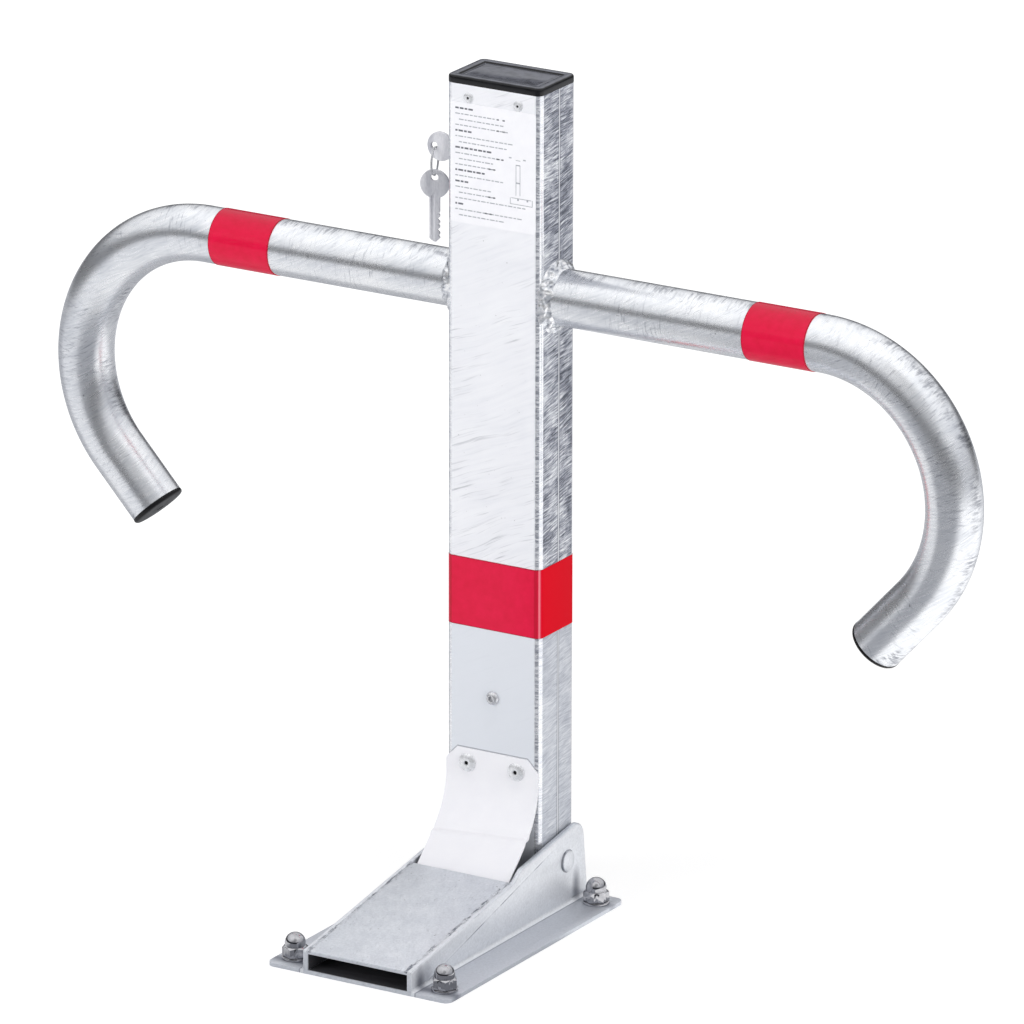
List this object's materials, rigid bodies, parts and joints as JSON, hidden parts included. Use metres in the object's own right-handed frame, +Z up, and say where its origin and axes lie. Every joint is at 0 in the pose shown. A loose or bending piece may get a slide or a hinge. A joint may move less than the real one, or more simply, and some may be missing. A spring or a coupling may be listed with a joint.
{
  "type": "folding hoop parking barrier",
  "caption": "Upright steel post with two bent tubular arms on a ramp-shaped bolted base; it folds rearward on a pivot and locks with a key-driven bolt",
  "frame": {"origin": "On the ground under the post's axis, on the flat underside of the base plate", "axes": "+Z up along the post, +X to the right seen from the ramp side, the ramp points to -Y and the post folds towards +Y"},
  "size_m": [0.7854, 0.25, 0.6365],
  "materials": {
    "galvanised_steel": "hot-dip galvanised, satin with soft spangle and streaks",
    "zinc_plated_steel": "zinc-plated, satin",
    "spring_steel": "oiled, satin",
    "stainless_steel": "polished stainless",
    "aluminium": "bright, as formed",
    "chromed_zinc": "bright chrome plating",
    "nickel_brass": "nickel-plated brass, satin",
    "black_plastic": "fine satin grain",
    "nylon": "natural nylon",
    "red_film": "reflective adhesive film, satin",
    "white_sheet": "flexible polypropylene sheet, satin",
    "label_film": "printed adhesive film, satin"
  },
  "bodies": {
    "base": {"base_plate": "galvanised_steel", "cheek_right": "galvanised_steel", "cheek_left": "galvanised_steel", "base_welds": "galvanised_steel", "ramp_plate": "galvanised_steel", "stop_bar": "galvanised_steel", "pivot_pin": "zinc_plated_steel", "washers": "stainless_steel", "cap_nuts": "stainless_steel", "abutment": "galvanised_steel", "buffer_spring": "spring_steel"},
    "post": {"post_tube": "galvanised_steel", "top_cap": "black_plastic", "cap_rivets": "aluminium", "arm_right": "galvanised_steel", "arm_left": "galvanised_steel", "arm_weld_right": "galvanised_steel", "arm_weld_left": "galvanised_steel", "end_plug_right": "black_plastic", "end_plug_left": "black_plastic", "band_right": "red_film", "band_left": "red_film", "band_post": "red_film", "label": "label_film", "front_screw": "stainless_steel", "guard_sheet": "white_sheet", "guard_rivets": "aluminium", "pivot_sleeve": "galvanised_steel", "bolt_guide": "nylon", "rod_guide": "nylon", "lock_body": "chromed_zinc", "lock_nut": "zinc_plated_steel"},
    "lock": {"lock_plug": "chromed_zinc", "lock_cam": "zinc_plated_steel", "key_in_lock": "nickel_brass"},
    "latch": {"pull_rod": "zinc_plated_steel", "bolt": "zinc_plated_steel", "latch_pin": "zinc_plated_steel"},
    "ring": {"key_ring": "spring_steel"},
    "spare_key": {"hanging_key": "nickel_brass"},
    "buffer": {"carriage": "zinc_plated_steel", "buffer_rod": "zinc_plated_steel", "buffer_nut": "zinc_plated_steel"}
  },
  "joints": [
    {"name": "post_fold", "type": "hinge", "parent": "base", "child": "post", "pos_m": [0, 0.005, 0.0365], "axis": [-1, 0, 0], "range_deg": [0, 91], "deforming": ["guard_sheet"]},
    {"name": "key_turn", "type": "hinge", "parent": "post", "child": "lock", "pos_m": [-0.04, -0.003, 0.5734], "axis": [1, 0, 0], "range_deg": [0, 90]},
    {"name": "latch_slide", "type": "slide", "parent": "post", "child": "latch", "axis": [0, 0, -1], "range_m": [0, 0.008]},
    {"name": "buffer_slide", "type": "slide", "parent": "base", "child": "buffer", "axis": [0, -1, 0], "range_m": [0, 0.008], "stiffness_N_per_m": 12000, "springref_m": -0.001, "deforming": ["buffer_spring"]},
    {"name": "ring_swing", "type": "hinge", "parent": "lock", "child": "ring", "pos_m": [-0.0633, -0.003, 0.57185], "axis": [0, 1, 0], "range_deg": [-8, 25]},
    {"name": "spare_key_swing", "type": "hinge", "parent": "ring", "child": "spare_key", "pos_m": [-0.0633, -0.003, 0.55085], "axis": [-0.304, 0.9527, 0], "range_deg": [-5, 30]}
  ],
  "couplings": [
    {"joint": "key_turn", "follows": "latch_slide", "rad_per_m": 196.35}
  ]
}
